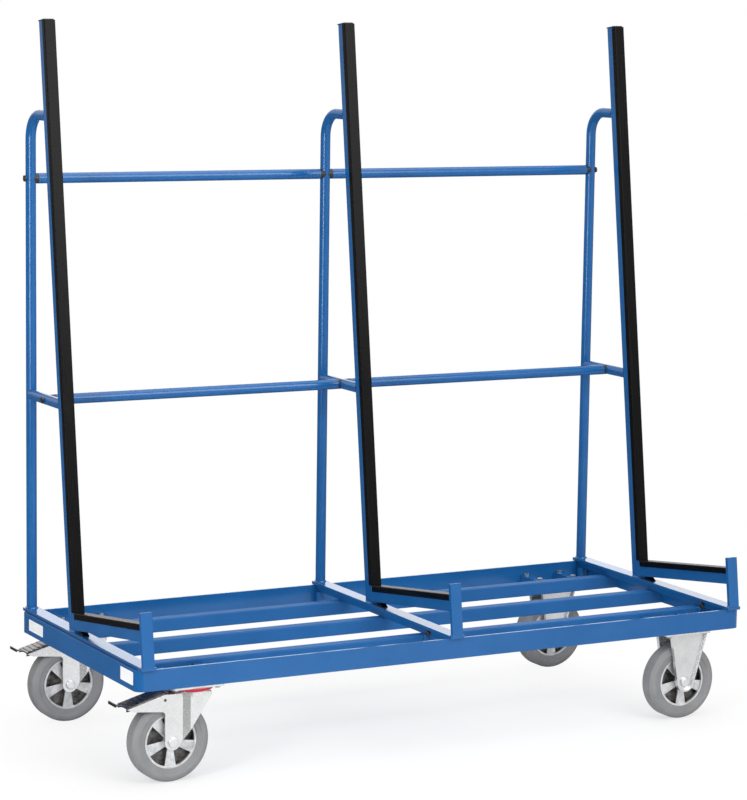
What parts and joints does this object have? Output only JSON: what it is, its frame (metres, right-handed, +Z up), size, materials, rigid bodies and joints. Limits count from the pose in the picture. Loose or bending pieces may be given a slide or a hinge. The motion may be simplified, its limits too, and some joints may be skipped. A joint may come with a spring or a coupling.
{
  "type": "glass panel cart",
  "caption": "Flat-bed cart on castors with leaning posts, sloped arms and front stops, all rubber faced, that carries glass panels on edge.",
  "frame": {"origin": "on the floor under the centre of the box round the cart, brake pedals included", "axes": "+X runs along the length from the swivel castors to the fixed castors, +Y to the back of the posts, +Z up"},
  "size_m": [1.779, 0.77, 1.811],
  "materials": {
    "blue_paint": "satin powder coat",
    "rubber_profile": "matt rubber",
    "black_plastic": "moulded",
    "black_screw": "black finish",
    "zinc_bolt": "zinc plated",
    "zinc_castor": "pressed sheet, pale zinc plating",
    "red_seal": "moulded seal ring",
    "dark_pedal": "dark plated",
    "grey_tyre": "solid grey rubber",
    "cast_hub": "die cast"
  },
  "bodies": {
    "cart": {"arm_left": "blue_paint", "arm_middle": "blue_paint", "arm_right": "blue_paint", "arm_rubber_left": "rubber_profile", "arm_rubber_middle": "rubber_profile", "arm_rubber_right": "rubber_profile", "bar_saddles": "black_plastic", "bar_screws": "black_screw", "castor_bearers": "blue_paint", "castor_bolts": "zinc_bolt", "fixed_axles": "zinc_bolt", "fixed_bracket_front": "zinc_castor", "fixed_bracket_rear": "zinc_castor", "foot_beam_left": "blue_paint", "foot_beam_middle": "blue_paint", "foot_beam_right": "blue_paint", "front_rail": "blue_paint", "front_slat": "blue_paint", "front_stops": "blue_paint", "king_bolts": "zinc_bolt", "left_end_rail": "blue_paint", "lower_bar_left": "blue_paint", "lower_bar_right": "blue_paint", "middle_slat": "blue_paint", "post_caps": "black_plastic", "post_left": "blue_paint", "post_middle": "blue_paint", "post_right": "blue_paint", "post_rubber_left": "rubber_profile", "post_rubber_middle": "rubber_profile", "post_rubber_right": "rubber_profile", "rear_rail": "blue_paint", "rear_slat": "blue_paint", "rear_tube_left": "blue_paint", "rear_tube_middle": "blue_paint", "rear_tube_right": "blue_paint", "right_end_rail": "blue_paint", "struts": "blue_paint", "swivel_plate_front": "zinc_castor", "swivel_plate_rear": "zinc_castor", "swivel_seals": "red_seal", "upper_bar_left": "blue_paint", "upper_bar_right": "blue_paint"},
    "swivel_front": {"swivel_fork_front": "zinc_castor", "swivel_axle_front": "zinc_bolt"},
    "swivel_wheel_front": {"swivel_tyre_front": "grey_tyre", "swivel_hub_front": "cast_hub"},
    "pedal_front": {"brake_pedal_front": "dark_pedal"},
    "fixed_wheel_front": {"fixed_tyre_front": "grey_tyre", "fixed_hub_front": "cast_hub"},
    "swivel_rear": {"swivel_fork_rear": "zinc_castor", "swivel_axle_rear": "zinc_bolt"},
    "swivel_wheel_rear": {"swivel_tyre_rear": "grey_tyre", "swivel_hub_rear": "cast_hub"},
    "pedal_rear": {"brake_pedal_rear": "dark_pedal"},
    "fixed_wheel_rear": {"fixed_tyre_rear": "grey_tyre", "fixed_hub_rear": "cast_hub"}
  },
  "joints": [
    {"name": "swivel_turn_front", "type": "hinge", "parent": "cart", "child": "swivel_front", "pos_m": [-0.6845, -0.3245, 0.224], "axis": [0, 0, 1], "continuous": true},
    {"name": "swivel_wheel_spin_front", "type": "hinge", "parent": "swivel_front", "child": "swivel_wheel_front", "pos_m": [-0.7445, -0.3245, 0.1], "axis": [0, 1, 0], "continuous": true},
    {"name": "brake_pedal_front", "type": "hinge", "parent": "swivel_front", "child": "pedal_front", "pos_m": [-0.7645, -0.3245, 0.205], "axis": [0, -1, 0], "range_deg": [0, 11]},
    {"name": "fixed_wheel_spin_front", "type": "hinge", "parent": "cart", "child": "fixed_wheel_front", "pos_m": [0.7295, -0.3245, 0.1], "axis": [0, 1, 0], "continuous": true},
    {"name": "swivel_turn_rear", "type": "hinge", "parent": "cart", "child": "swivel_rear", "pos_m": [-0.6845, 0.3245, 0.224], "axis": [0, 0, 1], "continuous": true},
    {"name": "swivel_wheel_spin_rear", "type": "hinge", "parent": "swivel_rear", "child": "swivel_wheel_rear", "pos_m": [-0.7445, 0.3245, 0.1], "axis": [0, 1, 0], "continuous": true},
    {"name": "brake_pedal_rear", "type": "hinge", "parent": "swivel_rear", "child": "pedal_rear", "pos_m": [-0.7645, 0.3245, 0.205], "axis": [0, -1, 0], "range_deg": [0, 11]},
    {"name": "fixed_wheel_spin_rear", "type": "hinge", "parent": "cart", "child": "fixed_wheel_rear", "pos_m": [0.7295, 0.3245, 0.1], "axis": [0, 1, 0], "continuous": true}
  ]
}
